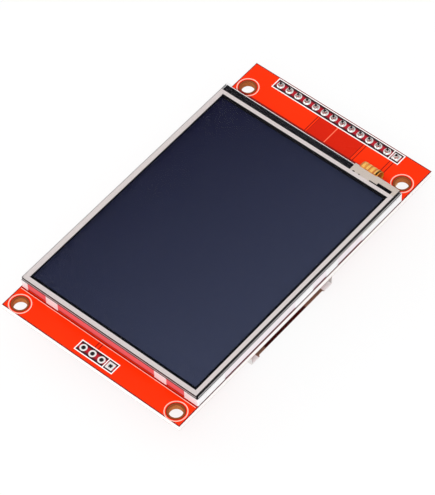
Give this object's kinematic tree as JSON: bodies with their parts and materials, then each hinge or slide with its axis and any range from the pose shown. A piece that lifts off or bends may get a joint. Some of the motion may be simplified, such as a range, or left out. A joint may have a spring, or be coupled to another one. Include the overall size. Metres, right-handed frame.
{
  "type": "tft display module",
  "caption": "Colour display with a resistive touch panel on a rectangular circuit board, with a pin header, a memory card socket on its back and a mounting hole at each corner.",
  "frame": {"origin": "centre of the four mounting holes, on the board's back face", "axes": "+Z out of the screen, +Y towards the pin header, +X towards the card socket's mouth"},
  "size_m": [0.05, 0.086, 0.0138],
  "materials": {
    "backlight_flex": "polyimide film",
    "backlight_leds": "side-emitting lamps",
    "backlight_transistor": "moulded, matt black",
    "capacitor_ends": "tinned",
    "capacitors": "sintered",
    "card_row_pads": "hot-air levelled tin",
    "diffuser_sheet": "frosted film",
    "driver_chip": "bare silicon",
    "driver_cover": "black tape",
    "front_glass": "polished",
    "front_polariser": "dark film",
    "header_body": "moulded, matt black",
    "header_pads": "hot-air levelled tin",
    "header_pins": "flash gold on brass",
    "header_solder": "bright solder",
    "light_guide": "clear acrylic",
    "main_flex": "polyimide film",
    "mounting_tapes": "double-sided tape",
    "panel_frame": "moulded white polycarbonate",
    "board": "glass-reinforced board under a glossy red solder mask",
    "prism_sheet": "ribbed film",
    "rear_glass": "polished",
    "rear_polariser": "grey film",
    "reflector_sheet": "silvered film",
    "regulator": "moulded, matt black",
    "regulator_leads": "tinned",
    "resistor_ends": "tinned",
    "resistors": "glazed black face",
    "rim_tape": "black tape",
    "socket_base": "moulded, matt black",
    "socket_contacts": "gold-flashed spring bronze",
    "socket_shell": "rolled stainless sheet",
    "socket_switches": "gold-flashed spring bronze",
    "touch_border": "silver ink and adhesive",
    "touch_controller": "moulded, matt black",
    "touch_controller_leads": "tinned",
    "touch_film": "clear polyester film",
    "touch_flex": "polyimide film",
    "touch_glass": "polished",
    "touch_tape": "black foam tape",
    "transistor_leads": "tinned"
  },
  "bodies": {
    "root": {"backlight_flex": "backlight_flex", "backlight_leds": "backlight_leds", "backlight_transistor": "backlight_transistor", "capacitor_ends": "capacitor_ends", "capacitors": "capacitors", "card_row_pads": "card_row_pads", "diffuser_sheet": "diffuser_sheet", "driver_chip": "driver_chip", "driver_cover": "driver_cover", "front_glass": "front_glass", "front_polariser": "front_polariser", "header_body": "header_body", "header_pads": "header_pads", "header_pins": "header_pins", "header_solder": "header_solder", "light_guide": "light_guide", "main_flex": "main_flex", "mounting_tapes": "mounting_tapes", "panel_frame": "panel_frame", "pcb": "board", "prism_sheet": "prism_sheet", "rear_glass": "rear_glass", "rear_polariser": "rear_polariser", "reflector_sheet": "reflector_sheet", "regulator": "regulator", "regulator_leads": "regulator_leads", "resistor_ends": "resistor_ends", "resistors": "resistors", "rim_tape": "rim_tape", "socket_base": "socket_base", "socket_contacts": "socket_contacts", "socket_shell": "socket_shell", "socket_switches": "socket_switches", "touch_border": "touch_border", "touch_controller": "touch_controller", "touch_controller_leads": "touch_controller_leads", "touch_film": "touch_film", "touch_flex": "touch_flex", "touch_glass": "touch_glass", "touch_tape": "touch_tape", "transistor_leads": "transistor_leads"}
  },
  "joints": []
}
